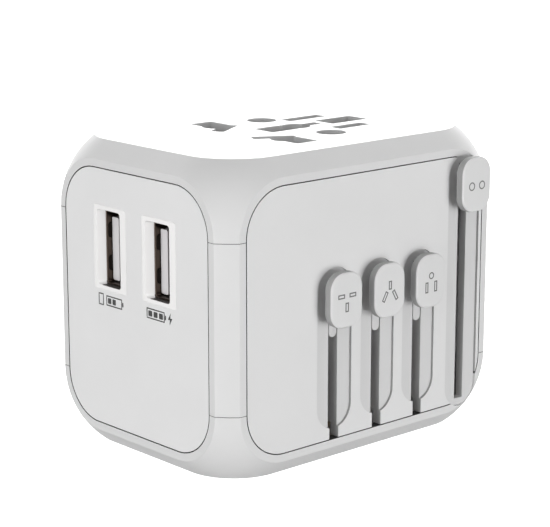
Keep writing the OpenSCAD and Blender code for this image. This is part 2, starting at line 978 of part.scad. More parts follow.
// Outline of the European plug's collar and of its flange: a bar with cut corners
module collar_outline(half_l, cut, grow) {
    w = collar_w / 2 + grow;
    l = half_l + grow;
    translate([collar_x, 0])
        polygon([
            [w, -l + cut], [w, l - cut], [w - cut, l], [cut - w, l],
            [-w, l - cut], [-w, cut - l], [cut - w, -l], [w - cut, -l]
        ]);
}

module eu_collar() {
    color("white") {
        difference() {
            translate([0, 0, collar_z])
                linear_extrude(collar_h)
                    collar_outline(collar_l / 2, collar_cut, 0);
            for (side = [-1, 1])
                translate([collar_x, side * eu_spacing / 2, collar_z - over])
                    cylinder(r = eu_pin_r + stem_play, h = pin_seat + over);
        }
        translate([0, 0, collar_z + collar_h - eps])
            linear_extrude(flange_t)
                collar_outline(flange_half, flange_cut, 0);
        block([eu_x - arm_w / 2, arm_y, foot_z], [eu_x + arm_w / 2, foot_end, foot_z + foot_h]);
        carriage_arm(eu_x, foot_z, eu_knob_rise, eu_stem_h);
    }
}

// Round pins with domed tips, seated in the collar
module eu_pins() {
    color("silver")
        for (side = [-1, 1])
            translate([collar_x, side * eu_spacing / 2, tip_z]) {
                translate([0, 0, eu_pin_r])
                    cylinder(r = eu_pin_r, h = eu_pin_l - eu_pin_r + pin_seat);
                translate([0, 0, eu_pin_r])
                    rotate_extrude()
                        intersection() {
                            circle(r = eu_pin_r);
                            translate([0, -eu_pin_r])
                                square([eu_pin_r, eu_pin_r + eps]);
                        }
            }
}

top_shell();
socket_plate();
bottom_shell();
mid_frame();
slider_panel();
usb_panel();
rear_panel();
end_panel();
chassis_deck();
case_screws();
usb_bezel_a();
usb_bezel_b();
usb_shell_a();
usb_shell_b();
usb_tongue_a();
usb_tongue_b();
usb_board();
transformer();
capacitor();
contact_holder();
live_contact();
neutral_contact();
earth_contact();
fuse();
fuse_clips();
uk_shutter();
uk_shutter_springs();
live_shutter();
live_shutter_spring();
neutral_shutter();
neutral_shutter_spring();
uk_knob();
uk_carriage();
uk_pins();
aus_knob();
aus_carriage();
aus_pins();
us_knob();
us_carriage();
us_pins();
eu_knob();
eu_collar();
eu_pins();
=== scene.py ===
"""Looks for the universal travel adapter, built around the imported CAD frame.

Lengths are in millimetres inside the modelling functions and become metres as a mesh is made.
The body's main axes are those of the frame: +Z up to the socket face, the sliders on the -Y
side, the USB ports on the -X end.
"""
import json
import math

import bmesh
import bpy
from mathutils import Matrix, Vector


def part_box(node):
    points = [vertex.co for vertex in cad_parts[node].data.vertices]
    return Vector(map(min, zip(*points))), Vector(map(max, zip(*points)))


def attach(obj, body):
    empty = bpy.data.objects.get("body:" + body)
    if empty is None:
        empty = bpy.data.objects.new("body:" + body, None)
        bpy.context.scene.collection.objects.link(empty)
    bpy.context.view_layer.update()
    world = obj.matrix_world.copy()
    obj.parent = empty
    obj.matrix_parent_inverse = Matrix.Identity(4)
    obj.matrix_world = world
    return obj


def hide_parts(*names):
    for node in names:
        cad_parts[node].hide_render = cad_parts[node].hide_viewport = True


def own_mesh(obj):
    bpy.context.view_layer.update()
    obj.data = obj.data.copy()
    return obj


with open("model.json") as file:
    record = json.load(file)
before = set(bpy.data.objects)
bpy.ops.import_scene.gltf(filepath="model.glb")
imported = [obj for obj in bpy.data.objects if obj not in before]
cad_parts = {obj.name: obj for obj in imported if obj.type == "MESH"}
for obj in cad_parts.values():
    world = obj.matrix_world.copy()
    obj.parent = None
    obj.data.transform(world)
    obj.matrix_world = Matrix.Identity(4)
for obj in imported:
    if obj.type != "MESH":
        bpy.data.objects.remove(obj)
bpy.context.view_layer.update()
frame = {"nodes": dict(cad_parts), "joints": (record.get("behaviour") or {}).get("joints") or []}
MM = 0.001


def node_box(name):
    """Lowest and highest corner of a CAD node, in millimetres."""
    low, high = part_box(name)
    return low / MM, high / MM


# How far each joint goes, in millimetres
TRAVEL = {joint["name"]: joint["range_m"][1] / MM for joint in frame["joints"]}

# ---- driving sizes, worked out from the frame ----
SHELL_LOW, _ = node_box("bottom_shell")
_, SHELL_HIGH = node_box("top_shell")
HALF = (SHELL_HIGH - SHELL_LOW) / 2
MID_Z = (SHELL_LOW.z + SHELL_HIGH.z) / 2
# Width of the chamfer round the flat sides, and radius of the flat sides' corners
CHAMFER = 3.05
FACE_R = 10.0
# From a flat side in to the centres of the arcs that round the body's corners and edges
REACH = FACE_R + CHAMFER
BLEND_R = math.hypot(REACH, FACE_R)
CORE = HALF - Vector((REACH,) * 3)
WALL = 2.0
# Width of the parting lines
PARTING = 0.2
PANEL_R = FACE_R - 1.6
# Height of the horizontal seams above and below the body's middle
POST_HALF = node_box("top_shell")[0].z - MID_Z - PARTING / 4
TRACK_W = 8.3
TRACK_D = 0.45
SLOT_W = 2.2
# Underside of the socket face
PLATE_Z = SHELL_HIGH.z - WALL
# Edge radius of the mouldings that meet at parting lines
SEAM_EDGE = 0.06

CASE = "case"
SLIDERS = ("uk", "aus", "us", "eu")


# ---- mesh helpers ----
def link(obj):
    """Puts a new object into the scene."""
    bpy.context.scene.collection.objects.link(obj)
    return obj


def mesh_object(name, bm):
    """A new object from a bmesh drawn in millimetres."""
    bmesh.ops.recalc_face_normals(bm, faces=bm.faces)
    mesh = bpy.data.meshes.new(name)
    bm.to_mesh(mesh)
    bm.free()
    mesh.transform(Matrix.Scale(MM, 4))
    return link(bpy.data.objects.new(name, mesh))


def apply_modifiers(obj):
    """Turns an object's modifiers into its mesh."""
    bpy.context.view_layer.update()
    depsgraph = bpy.context.evaluated_depsgraph_get()
    mesh = bpy.data.meshes.new_from_object(obj.evaluated_get(depsgraph))
    obj.modifiers.clear()
    obj.data = mesh


def boolean(obj, cutters, operation="DIFFERENCE"):
    """Cuts (or joins) the cutters with obj, one exact step each, and removes them."""
    for cutter in cutters:
        step = obj.modifiers.new("cut", "BOOLEAN")
        step.operation = operation
        step.solver = "EXACT"
        step.object = cutter
    apply_modifiers(obj)
    for cutter in cutters:
        bpy.data.objects.remove(cutter)


def soften(obj, width, segments=2, angle=30):
    """Merges flat faces, rounds the sharp edges by a width in millimetres and shades smooth."""
    bm = bmesh.new()
    bm.from_mesh(obj.data)
    bmesh.ops.remove_doubles(bm, verts=bm.verts, dist=0.002 * MM)
    bmesh.ops.dissolve_limit(bm, angle_limit=math.radians(0.6), verts=bm.verts, edges=bm.edges)
    bm.to_mesh(obj.data)
    bm.free()
    if width:
        bevel = obj.modifiers.new("edge", "BEVEL")
        bevel.width = width * MM
        bevel.segments = segments
        bevel.limit_method = "ANGLE"
        bevel.angle_limit = math.radians(angle)
        bevel.use_clamp_overlap = True
        bevel.harden_normals = False
        apply_modifiers(obj)
    for polygon in obj.data.polygons:
        polygon.use_smooth = True
    obj.data.set_sharp_from_angle(angle=math.radians(angle + 12))
    weighted = obj.modifiers.new("normals", "WEIGHTED_NORMAL")
    weighted.mode = "FACE_AREA_WITH_ANGLE"
    weighted.weight = 50
    weighted.keep_sharp = True
    apply_modifiers(obj)


def ring_outline(inset, radius, steps=16):
    """Body cross-section: flat sides at the inset, cut at the corners by arcs of that radius."""
    e = REACH - inset
    start = math.acos(min(1.0, e / radius))
    points = []
    for quarter in range(4):
        sx = 1 if quarter in (0, 3) else -1
        sy = 1 if quarter < 2 else -1
        for i in range(steps + 1):
            a = quarter * math.pi / 2 + start + (math.pi / 2 - 2 * start) * i / steps
            points.append((sx * CORE.x + radius * math.cos(a),
                           sy * CORE.y + radius * math.sin(a)))
    return points


def rounded_outline(width, height, radius, steps=12):
    """Rounded rectangle round the origin."""
    points = []
    for quarter in range(4):
        sx = 1 if quarter in (0, 3) else -1
        sy = 1 if quarter < 2 else -1
        for i in range(steps + 1):
            a = math.pi / 2 * (quarter + i / steps)
            points.append((sx * (width / 2 - radius) + radius * math.cos(a),
                           sy * (height / 2 - radius) + radius * math.sin(a)))
    return points


def circle_outline(radius, steps=64):
    """Regular outline that stands for a circle."""
    turns = [2 * math.pi * i / steps for i in range(steps)]
    return [(radius * math.cos(a), radius * math.sin(a)) for a in turns]


def loft(bm, rings):
    """Adds a closed solid through rings of the same number of points."""
    made = [[bm.verts.new(p) for p in ring] for ring in rings]
    count = len(made[0])
    for below, above in zip(made, made[1:]):
        for i in range(count):
            j = (i + 1) % count
            bm.faces.new((below[i], below[j], above[j], above[i]))
    bm.faces.new(list(reversed(made[0])))
    bm.faces.new(made[-1])


def prism(name, outline, low, high, place=Matrix.Identity(4)):
    """Outline drawn in the XY plane, extruded from low to high along Z, then placed."""
    bm = bmesh.new()
    loft(bm, [[Vector((x, y, z)) for x, y in outline] for z in (low, high)])
    bm.transform(place)
    return mesh_object(name, bm)


def block(name, low, high):
    """A box between two corners."""
    middle = (Vector(low) + Vector(high)) / 2
    size = Vector(high) - Vector(low)
    outline = [(size.x / 2 * sx, size.y / 2 * sy)
               for sx, sy in ((-1, -1), (1, -1), (1, 1), (-1, 1))]
    return prism(name, outline, -size.z / 2, size.z / 2, Matrix.Translation(middle))


def side_place(azimuth, reach, x=0.0, z=0.0):
    """Plane of a side: local X along the side, local Y up, local Z outward. Azimuth 0 is -Y."""
    return (Matrix.Rotation(math.radians(azimuth), 4, "Z")
            @ Matrix.Translation((x, -reach, MID_Z + z))
            @ Matrix.Rotation(math.pi / 2, 4, "X"))


def body_rings(inset, z_low, z_high, steps=16, levels=10):
    """Rings up the body between two heights, with one at each crease."""
    limit = REACH - inset
    radius = BLEND_R - inset
    crease = math.sqrt(radius ** 2 - limit ** 2)
    rises = {CORE.z + d for d in (0.0, crease, limit)}
    for i in range(1, levels):
        rises.add(CORE.z + crease * math.sin(math.pi / 2 * i / levels))
    for i in range(1, 4):
        rises.add(CORE.z + crease + (limit - crease) * i / 4)
    heights = {MID_Z + s * r for r in rises for s in (-1, 1)}
    heights = sorted({z for z in heights if z_low < z < z_high} | {z_low, z_high})
    rings = []
    for z in heights:
        rise = max(0.0, abs(z - MID_Z) - CORE.z)
        ring_r = math.sqrt(max(radius ** 2 - rise ** 2, crease ** 2))
        rings.append([Vector((x, y, z)) for x, y in ring_outline(inset, ring_r, steps)])
    return rings


def body_block(name, inset, z_low, z_high):
    """The body's form, moved in by the inset, between two heights."""
    bm = bmesh.new()
    loft(bm, body_rings(inset, z_low, z_high))
    return mesh_object(name, bm)


# ---- materials ----
def new_material(name):
    material = bpy.data.materials.new(name)
    material.use_nodes = True
    return material, material.node_tree.nodes, material.node_tree.links


def surface(name, dark, light, rough, grain=1500.0, bump=0.05, metallic=0.0, patch=60.0,
            rough_spread=0.06, stretch=(1, 1, 1)):
    """Moulded or rolled surface: slow colour drift, fine grain in the bump and the roughness."""
    material, nodes, links = new_material(name)
    shader = nodes["Principled BSDF"]
    shader.inputs["Metallic"].default_value = metallic
    shader.inputs["IOR"].default_value = 1.5
    place = nodes.new("ShaderNodeTexCoord")
    scale = nodes.new("ShaderNodeMapping")
    scale.inputs["Scale"].default_value = stretch
    links.new(place.outputs["Object"], scale.inputs["Vector"])
    drift = nodes.new("ShaderNodeTexNoise")
    drift.inputs["Scale"].default_value = patch
    drift.inputs["Detail"].default_value = 3.0
    links.new(scale.outputs["Vector"], drift.inputs["Vector"])
    ramp = nodes.new("ShaderNodeValToRGB")
    ramp.color_ramp.elements[0].position = 0.3
    ramp.color_ramp.elements[0].color = (*dark, 1)
    ramp.color_ramp.elements[1].position = 0.7
    ramp.color_ramp.elements[1].color = (*light, 1)
    links.new(drift.outputs["Fac"], ramp.inputs["Fac"])
    links.new(ramp.outputs["Color"], shader.inputs["Base Color"])
    fine = nodes.new("ShaderNodeTexNoise")
    fine.inputs["Scale"].default_value = grain
    fine.inputs["Detail"].default_value = 4.0
    links.new(scale.outputs["Vector"], fine.inputs["Vector"])
    spread = nodes.new("ShaderNodeMapRange")
    spread.inputs["To Min"].default_value = rough - rough_spread
    spread.inputs["To Max"].default_value = rough + rough_spread
    links.new(fine.outputs["Fac"], spread.inputs["Value"])
    links.new(spread.outputs["Result"], shader.inputs["Roughness"])
    relief = nodes.new("ShaderNodeBump")
    relief.inputs["Strength"].default_value = bump
    relief.inputs["Distance"].default_value = 0.02 * MM
    links.new(fine.outputs["Fac"], relief.inputs["Height"])
    links.new(relief.outputs["Normal"], shader.inputs["Normal"])
    return material


def plastic(name, value, rough=0.42, tint=(1.0, 1.0, 1.0), spread=0.012):
    """A tinted grey that drifts by the spread either way."""
    dark, light = (tuple(v * t for t in tint) for v in (value - spread, value + spread))
    return surface(name, dark, light, rough)


def metal(name, colour, rough):
    """Rolled metal, with its grain drawn out along Z."""
    dark = tuple(c * 0.93 for c in colour)
    return surface(name, dark, colour, rough, metallic=1.0, stretch=(1, 1, 0.3), grain=3000.0,
                   bump=0.04, rough_spread=0.05)


SHELL_WHITE = plastic("shell_white", 0.735)
PANEL_WHITE = plastic("panel_white", 0.77, rough=0.45)
# Brighter copy of the panel white for the USB end: painted light, as that end stands in stronger
# light
USB_PANEL_LIT_WHITE = plastic("usb_panel_lit_white", 0.82, rough=0.45)
# Darker white for the track floors and the knob stems: painted shade of the recesses and of the
# room under the caps
TRACK_SHADE_WHITE = plastic("track_shade_white", 0.68, rough=0.45)
# Grey for the long walls of the slots: painted shade of the narrow slots
SLOT_WALL_SHADE = plastic("slot_wall_shade", 0.58, rough=0.55)
# Dark grey for the side walls of the tracks: painted shade along the tracks' edges
TRACK_WALL_SHADE = plastic("track_wall_shade", 0.38, rough=0.55)
# Near black for the sides of the knob stems: painted shade under the caps
STEM_SIDE_SHADE = plastic("stem_side_shade", 0.15, rough=0.6)
# Grey for the walls of the socket openings: painted shade inside the openings
OPENING_WALL_SHADE = plastic("opening_wall_shade", 0.7, rough=0.5)
PLATE_WHITE = plastic("plate_white", 0.93, rough=0.3, spread=0.01)
BEZEL_WHITE = plastic("bezel_white", 0.68, tint=(1.0, 0.99, 0.985))
# Near black for the short walls of the USB mouths: painted shade inside the ports
MOUTH_END_SHADE = plastic("mouth_end_shade", 0.06, rough=0.5, tint=(1.0, 0.9, 0.85), spread=0.01)
KNOB_WHITE = plastic("knob_white", 0.75, rough=0.4)
# Darker grey for the side walls of the knob caps: painted shade on the caps' sides
KNOB_SIDE_SHADE = plastic("knob_side_shade", 0.4, rough=0.5)
# Darkened white for the carriages, the European collar and the pin sleeves: painted shade inside
# the body
CARRIAGE_SHADE_WHITE = plastic("carriage_shade_white", 0.5, rough=0.5)
DECK_GREY = plastic("deck_grey", 0.5, rough=0.6)
HOLDER_IVORY = plastic("holder_ivory", 0.7, rough=0.5, tint=(1.0, 0.97, 0.88))
SHUTTER_GREY = plastic("shutter_grey", 0.42, rough=0.5)
# Near black for the walls of the parting lines, the inner skin and the notches' walls: painted
# shade in the gaps and inside the case
SEAM_AND_INSIDE_SHADE = plastic("seam_and_inside_shade", 0.07, rough=0.7)
MARK_GREY = plastic("mark_grey", 0.16, rough=0.5)
MARK_DARK = plastic("mark_dark", 0.06, rough=0.5, spread=0.005)
TONGUE_WHITE = plastic("tongue_white", 0.72, rough=0.45, tint=(1.0, 0.975, 0.985))
NICKEL = metal("nickel", (0.66, 0.64, 0.6), 0.3)
# Darkened steel for the USB shells: painted shade inside the ports
PORT_STEEL_SHADE = metal("port_steel", (0.11, 0.085, 0.07), 0.35)
# Near black for the spring tabs: painted shade on the tabs inside the ports
PORT_TAB_SHADE = metal("port_tab_shade", (0.02, 0.016, 0.014), 0.4)
ZINC = metal("zinc", (0.6, 0.61, 0.64), 0.35)
BRASS = metal("brass", (0.8, 0.6, 0.28), 0.28)
GOLD = metal("gold", (0.9, 0.66, 0.3), 0.25)
BOARD_GREEN = surface("board_green", (0.01, 0.09, 0.04), (0.02, 0.14, 0.06), 0.35, patch=400.0)
TAPE_YELLOW = surface("tape_yellow", (0.62, 0.42, 0.06), (0.72, 0.5, 0.1), 0.5)
FERRITE = surface("ferrite", (0.03, 0.03, 0.035), (0.06, 0.06, 0.065), 0.6)
CAN_BLACK = surface("can_black", (0.015, 0.015, 0.02), (0.03, 0.03, 0.035), 0.35)
CERAMIC = surface("ceramic", (0.72, 0.7, 0.64), (0.8, 0.78, 0.72), 0.3)


# ---- pieces ----
def finish_piece(obj, material, body, replaces=()):
    """Gives a piece its finish, its body and what it stands for."""
    obj.data.materials.clear()
    obj.data.materials.append(material)
    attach(obj, body)
    if replaces:
        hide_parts(*replaces)


def paint_faces(obj, material, test):
    """Gives one more material to the faces whose centre, in millimetres, and normal pass."""
    obj.data.materials.append(material)
    slot = len(obj.data.materials) - 1
    for polygon in obj.data.polygons:
        if test(Vector(polygon.center) / MM, Vector(polygon.normal)):
            polygon.material_index = slot


def rounded_distance(x, y, width, height, radius):
    """Distance outside a rounded rectangle's outline, negative inside it."""
    dx = abs(x) - width / 2 + radius
    dy = abs(y) - height / 2 + radius
    outside = math.hypot(max(dx, 0), max(dy, 0))
    return outside + min(max(dx, dy), 0) - radius


def side_test(azimuth, reach, size, low, high):
    """True for the walls of a parting line: faces square to a side, near a panel's outline."""
    back = side_place(azimuth, reach).inverted()

    def test(centre, normal):
        x, y, depth = back @ centre
        across = (back.to_3x3() @ normal).z
        if abs(across) > 0.6 or depth > -0.07 or depth < -WALL - 0.5:
            return False
        return low < rounded_distance(x, y, *size, PANEL_R) < high
    return test


def seam_test(centre, normal):
    """True for the parting faces between the shells and the corner posts."""
    return abs(normal.z) > 0.6 and abs(abs(centre.z - MID_Z) - POST_HALF) < 0.1


def track_floor_test(centre, normal):
    return normal.y < -0.9 and abs(centre.y + HALF.y - TRACK_D) < 0.02


def slot_wall_test(centre, normal):
    """True for the long walls of the slots, below the tracks' floors."""
    near = min(abs(abs(centre.x - x) - SLOT_W / 2) for x in SLIDER_X)
    return abs(normal.x) > 0.9 and near < 0.05


def track_wall_test(centre, normal):
    return abs(normal.y) < 0.5 and -HALF.y + 0.1 < centre.y < -HALF.y + TRACK_D - 0.05


def eu_wall_test(centre, normal):
    """True for the end walls of the European track, where they cross a shell."""
    return track_wall_test(centre, normal) and abs(centre.x - EU_X) < TRACK_W / 2 + 0.05


def inside_test(centre, normal):
    """True for the inner skin, which is only seen through gaps and slots."""
    return abs(centre.x) < HALF.x - WALL - 1 and abs(centre.y) < HALF.y - WALL - 1


def notch_test(centre, normal):
    """True for the walls of the notches at the feet of the slots."""
    return abs(normal.y) < 0.9 and centre.y < -HALF.y + WALL + 1.5 and centre.z < PANEL_LOW + 2.4


def any_of(*tests):
    return lambda centre, normal: any(test(centre, normal) for test in tests)


def pocket_walls():
    """Tests for the case's own walls of the four parting lines."""
    return [side_test(azimuth, reach, size, 0.1, 0.35) for azimuth, reach, size in SIDES]


def panel_size(name, across):
    low, high = node_box(name)
    size = high - low
    return size[across], size.z


LONG_PANEL = panel_size("slider_panel", 0)
SHORT_PANEL = panel_size("usb_panel", 1)
SIDES = ((0, HALF.y, LONG_PANEL), (180, HALF.y, LONG_PANEL),
         (-90, HALF.x, SHORT_PANEL), (90, HALF.x, SHORT_PANEL))


def pocket_cutters():
    """Room for the four side panels, wider than each by the parting line."""
    def outline(w, h):
        return rounded_outline(w + 2 * PARTING, h + 2 * PARTING, PANEL_R + PARTING, 16)

    return [prism("pocket", outline(*size), -0.5, WALL + 1.5, side_place(azimuth, reach - WALL))
            for azimuth, reach, size in SIDES]


def panel_plate(name, azimuth, reach, size):
    """A side panel before anything is cut in it."""
    return prism(name, rounded_outline(*size, PANEL_R, 16), 0, WALL,
                 side_place(azimuth, reach - WALL))


def knob_place(key):
    """Middle of a knob across the side, and the height of its top."""
    low, high = node_box(key + "_knob")
    return (low.x + high.x) / 2, high.z


SLIDER_X = [knob_place(key)[0] for key in SLIDERS]
PANEL_LOW = node_box("slider_panel")[0].z
EU_X = SLIDER_X[-1]
# Lower and upper ends from the body's middle; the European track passes the panel's outline
TRACKS = {"uk": (-21.6, 7.7), "aus": (-21.0, 7.7), "us": (-21.0, 7.7), "eu": (-24.3, 23.75)}
SLOTS = {"uk": (-30.0, 5.6), "aus": (-30.0, 5.6), "us": (-30.0, 5.6), "eu": (-22.9, 22.2)}


def track_prism(key, low_depth, high_depth, play=0.0):
    """A track's stadium between two distances from the side's face."""
    low, high = TRACKS[key]
    width = TRACK_W - play
    place = side_place(0, HALF.y, knob_place(key)[0], (low + high) / 2)
    outline = rounded_outline(width, high - low - play, width / 2 - 0.05, 16)
    return prism("track", outline, low_depth, high_depth, place)


def slot_cutter(key):
    """Room for a slider's stem, through the panel and the sleeve behind it."""
    low, high = SLOTS[key]
    x = knob_place(key)[0]
    return block("slot", (x - SLOT_W / 2, -HALF.y - 1, MID_Z + low),
                 (x + SLOT_W / 2, -HALF.y + 4.2, MID_Z + high))


def finish_shell(shell, node):
    soften(shell, SEAM_EDGE)
    finish_piece(shell, SHELL_WHITE, CASE, [node])
    # Painted shade: the parting lines' walls are painted near black
    paint_faces(shell, SEAM_AND_INSIDE_SHADE, any_of(seam_test, *pocket_walls()))
    # Painted shade: the European track's walls on the shell are painted dark grey
    paint_faces(shell, TRACK_WALL_SHADE, eu_wall_test)


def top_shell():
    """Upper case, with a seat and a ledge under it for the socket face."""
    low = MID_Z + POST_HALF + PARTING / 4
    shell = body_block("top_shell_skin", 0, low, SHELL_HIGH.z)
    flat_x, flat_y = 2 * (HALF.x - CHAMFER), 2 * (HALF.y - CHAMFER)
    ledge, seat_play = 1.2, 0.03
    mouth = rounded_outline(flat_x - 2 * ledge, flat_y - 2 * ledge, FACE_R - ledge)
    seat = rounded_outline(flat_x + 2 * seat_play, flat_y + 2 * seat_play, FACE_R + seat_play, 16)
    cutters = [body_block("core", WALL, low - 2, PLATE_Z - 1.3),
               prism("mouth", mouth, PLATE_Z - 4, SHELL_HIGH.z + 1),
               prism("seat", seat, PLATE_Z, SHELL_HIGH.z + 1),
               track_prism("eu", -WALL - 0.5, 1.0)]
    boolean(shell, cutters + pocket_cutters())
    finish_shell(shell, "top_shell")


def bottom_shell():
    """Lower case, with the holes of the plug face and the posts for the case screws."""
    high = MID_Z - POST_HALF - PARTING / 4
    shell = body_block("bottom_shell_skin", 0, SHELL_LOW.z, high)
    boolean(shell, [body_block("core", WALL, SHELL_LOW.z + 2.2, high + 2),
                    track_prism("eu", -WALL - 0.5, 1.0)] + pocket_cutters())
    boolean(shell, plug_cutters())
    for place in screw_places():
        post = prism("post", circle_outline(2.5, 40), 2.0, 24.5, Matrix.Translation(place))
        bore = prism("bore", circle_outline(1.95, 40), -1, 3.0, Matrix.Translation(place))
        thread = prism("thread", circle_outline(1.15, 24), -1, 26, Matrix.Translation(place))
        boolean(shell, [post], "UNION")
        boolean(shell, [bore, thread])
    finish_shell(shell, "bottom_shell")


def screw_places():
    """Centres of the four case screws: two nearer the middle, two in their box's far corners."""
    low, high = node_box("case_screws")
    head_r, near_y = 1.8, 16.4
    return [Vector((x, s * y, 0))
            for x, y in ((low.x + head_r, near_y), (high.x - head_r, high.y - head_r))
            for s in (-1, 1)]


# Size of each standard's pins along X and Y, in millimetres
UK_PIN = (4.0, 6.35)
UK_EARTH_PIN = (8.0, 4.0)
AUS_PIN = (6.35, 1.6)
US_PIN = (6.3, 1.5)
EU_PIN = (4.0, 4.0)
AUS_PIN_Y, AUS_TURN = 6.86, 30


def pin_places(key):
    """Centres, sizes and turn of a plug's pins: (x, y, size x, size y, angle)."""
    low, high = node_box(key + "_pins")
    middle = (low + high) / 2
    if key == "uk":
        x, y = high.x - UK_PIN[0] / 2, high.y - UK_PIN[1] / 2
        return [(x, y, *UK_PIN, 0), (x, -y, *UK_PIN, 0),
                (low.x + UK_EARTH_PIN[0] / 2, 0.0, *UK_EARTH_PIN, 0)]
    if key == "aus":
        return [(middle.x, s * AUS_PIN_Y, *AUS_PIN, s * AUS_TURN) for s in (1, -1)]
    size = US_PIN if key == "us" else EU_PIN
    return [(middle.x, s * (high.y - size[1] / 2), *size, 0) for s in (1, -1)]


def collar_outline(play):
    """Room for the European collar, a bar with cut corners, with play all round."""
    low, high = node_box("eu_collar")
    half_l, cut = 17.0 + play, 3.0
    w = (high.x - low.x) / 2 + play
    x = (low.x + high.x) / 2
    corners = [(w, cut - half_l), (w, half_l - cut), (w - cut, half_l), (cut - w, half_l),
               (-w, half_l - cut), (-w, cut - half_l), (cut - w, -half_l), (w - cut, -half_l)]
    return [(x + cx, cy) for cx, cy in corners]


def pin_outline(size_x, size_y, angle, grow=0.0, radius=0.3):
    """A flat pin's cross-section, turned and grown."""
    turn = math.radians(angle)
    return [(x * math.cos(turn) - y * math.sin(turn), x * math.sin(turn) + y * math.cos(turn))
            for x, y in rounded_outline(size_x + 2 * grow, size_y + 2 * grow, radius, 4)]


def plug_cutters(play=0.2):
    """Holes of the plug face."""
    cutters = [prism("collar_hole", collar_outline(play), -1, 4)]
    for key in ("uk", "aus", "us"):
        for x, y, sx, sy, angle in pin_places(key):
            cutters.append(prism("pin_hole", pin_outline(sx, sy, angle, play), -1, 4,
                                 Matrix.Translation((x, y, 0))))
    return cutters


# Room in the sleeve's corner for the arm of the European slider
ARM_Y = -20.8
ARM_HALF = 1.6
# Height of the notches beside the feet of the slots
NOTCH_H = 2.3
# Play round the ports in the sleeve's window
PORT_PLAY = 0.05


def slot_notch(key):
    """Room beside the foot of a slot, behind the panel."""
    x = knob_place(key)[0] + SLOT_W / 2
    return block("notch", (x - 0.5, -HALF.y + WALL, PANEL_LOW - 0.5),
                 (x + 1.6, -HALF.y + WALL + 2, PANEL_LOW + NOTCH_H))


def spring_stops(top):
    """Ribs of the sleeve that the shutter springs push against."""
    low, high = node_box("uk_shutter_springs")
    root = WALL + 0.8
    stop_z = (low.z + high.z) / 2 - 1.1
    ribs = []
    for side in (-1, 1):
        y = side * (high.y - 0.9)
        ribs.append(block("rib", (-HALF.x + root, y - 1.1, stop_z), (low.x, y + 1.1, top)))
        spring = node_box(("neutral" if side < 0 else "live") + "_shutter_spring")
        x = (spring[0].x + spring[1].x) / 2
        ends = sorted((spring[1].y if side > 0 else spring[0].y, side * (HALF.y - root)))
        ribs.append(block("rib", (x - 1.1, ends[0], stop_z), (x + 1.1, ends[1], top)))
    return ribs


def mid_frame():
    """Corner posts between the shells, and the sleeve that joins them behind the panels."""
    low, high = node_box("mid_frame")
    post_low = MID_Z - POST_HALF + PARTING / 4
    post_high = MID_Z + POST_HALF - PARTING / 4
    posts = prism("mid_frame_posts", ring_outline(0, BLEND_R), post_low, post_high)
    boolean(posts, pocket_cutters())
    sleeve = prism("sleeve", ring_outline(WALL, 11.6), low.z, high.z)
    boolean(posts, [sleeve], "UNION")
    inner = prism("inside", ring_outline(WALL + 1.25, 10.4), -1, SHELL_HIGH.z + 1)
    first, last = node_box("usb_bezel_a")[0], node_box("usb_bezel_b")[1]
    window = block("window", (-HALF.x - 1, first.y - PORT_PLAY, first.z - PORT_PLAY),
                   (-HALF.x + 5, last.y + PORT_PLAY, last.z + PORT_PLAY))
    relief = block("relief", (EU_X - ARM_HALF, ARM_Y - 0.3, -1),
                   (EU_X + ARM_HALF, ARM_Y + 1.9, high.z + 1))
    notches = [slot_notch(k) for k in SLIDERS if k != "eu"]
    boolean(posts, [inner, window, relief] + [slot_cutter(k) for k in SLIDERS] + notches)
    boolean(posts, spring_stops(high.z), "UNION")
    soften(posts, SEAM_EDGE)
    finish_piece(posts, SHELL_WHITE, CASE, ["mid_frame"])
    # Painted shade: parting-line walls, inner skin and notch walls are painted near black
    paint_faces(posts, SEAM_AND_INSIDE_SHADE, any_of(seam_test, inside_test, notch_test, *pocket_walls()))
    # Painted shade: the slots' long walls in the sleeve are painted grey
    paint_faces(posts, SLOT_WALL_SHADE, slot_wall_test)


def socket_cutters():
    """Openings of the socket face: British, European, Australian, American and the middle one."""
    def slot(x, y, w, h, angle=0.0, r=0.25):
        turned = pin_outline(w, h, angle, 0.0, r)
        return prism("slot", turned, PLATE_Z - 1, SHELL_HIGH.z + 1, Matrix.Translation((x, y, 0)))

    def hole(x, y, r):
        return prism("hole", circle_outline(r), PLATE_Z - 1, SHELL_HIGH.z + 1,
                     Matrix.Translation((x, y, 0)))

    cutters = [slot(16.16, 0, 9.1, 5.0), slot(12.44, 6.35, 9.3, 2.7), slot(12.5, -6.35, 7.9, 2.8),
               slot(-0.2, 0, 6.6, 5.14), hole(4.6, 0, 2.7), slot(5.15, 0, 10.3, 2.2)]
    for s in (-1, 1):
        cutters += [slot(-6.07, s * 11.1, 4.9, 7.3), hole(4.57, s * 9.5, 2.75),
                    hole(-6.6, s * 9.5, 2.75), slot(-7.0, s * 6.86, 8.0, 2.6, s * 30)]
    return cutters


def socket_plate():
    """The socket face, a plate set into the top shell."""
    low, high = node_box("socket_plate")
    plate = prism("socket_face", rounded_outline(high.x - low.x, high.y - low.y, FACE_R, 16),
                  PLATE_Z, high.z)
    boolean(plate, socket_cutters())
    soften(plate, 0.08)
    finish_piece(plate, PLATE_WHITE, CASE, ["socket_plate"])
    edge = HALF - Vector((CHAMFER + 1, CHAMFER + 1, 0))
    # Painted shade: the openings' walls are painted grey
    paint_faces(plate, OPENING_WALL_SHADE, lambda centre, normal: abs(normal.z) < 0.3
                and abs(centre.x) < edge.x and abs(centre.y) < edge.y)


